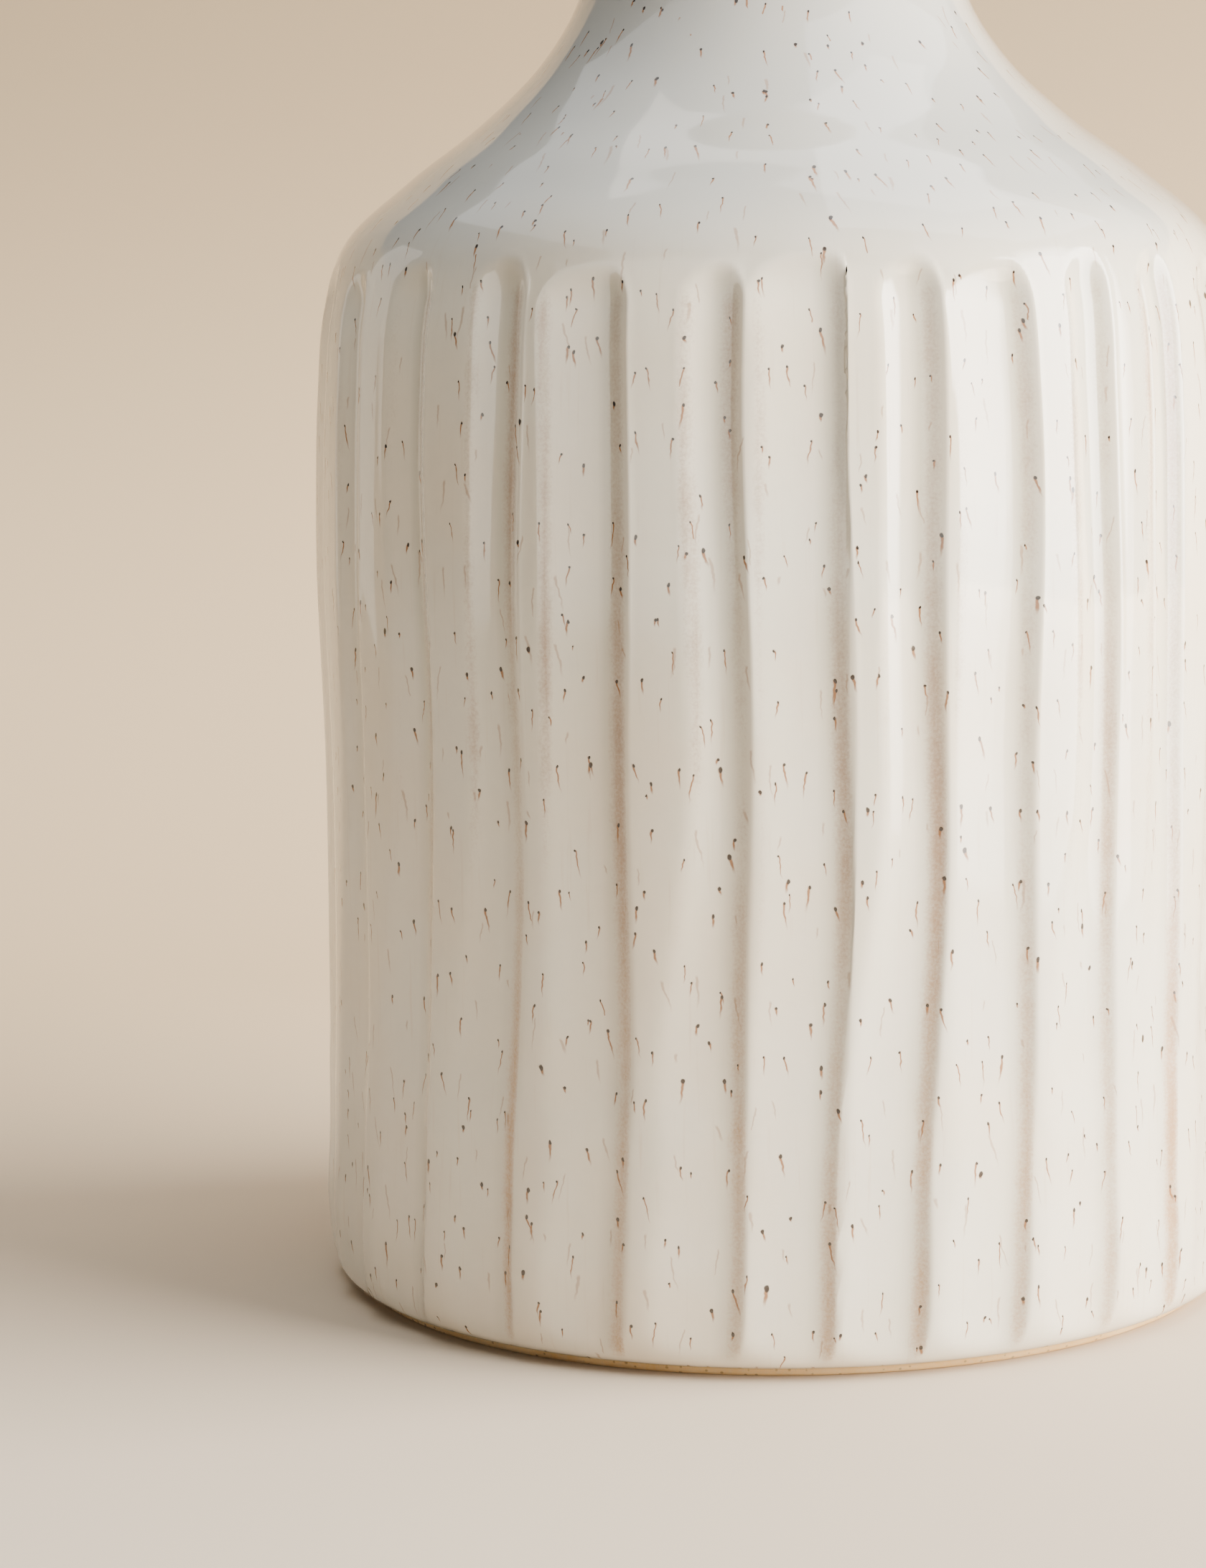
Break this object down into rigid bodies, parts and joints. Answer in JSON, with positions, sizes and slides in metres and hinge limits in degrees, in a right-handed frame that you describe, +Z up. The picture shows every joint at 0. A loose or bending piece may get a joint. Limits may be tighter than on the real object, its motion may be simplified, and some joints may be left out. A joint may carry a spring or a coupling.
{
  "type": "vase",
  "caption": "Stoneware bottle vase with pressed vertical flutes, a sloping shoulder, a narrow neck, and a speckled cream glaze inside and out.",
  "frame": {"origin": "centre of the foot ring's face, where the vase stands", "axes": "+Z up the vase's axis, -Y towards the front"},
  "size_m": [0.1513, 0.1513, 0.2476],
  "materials": {
    "bare_stoneware": "matt, unglazed tan clay",
    "speckled_glaze": "gloss, cream with iron speckles",
    "liner_glaze": "gloss, cream"
  },
  "bodies": {
    "root": {"clay_body": "bare_stoneware", "outer_glaze": "speckled_glaze", "liner_glaze": "liner_glaze"}
  },
  "joints": []
}
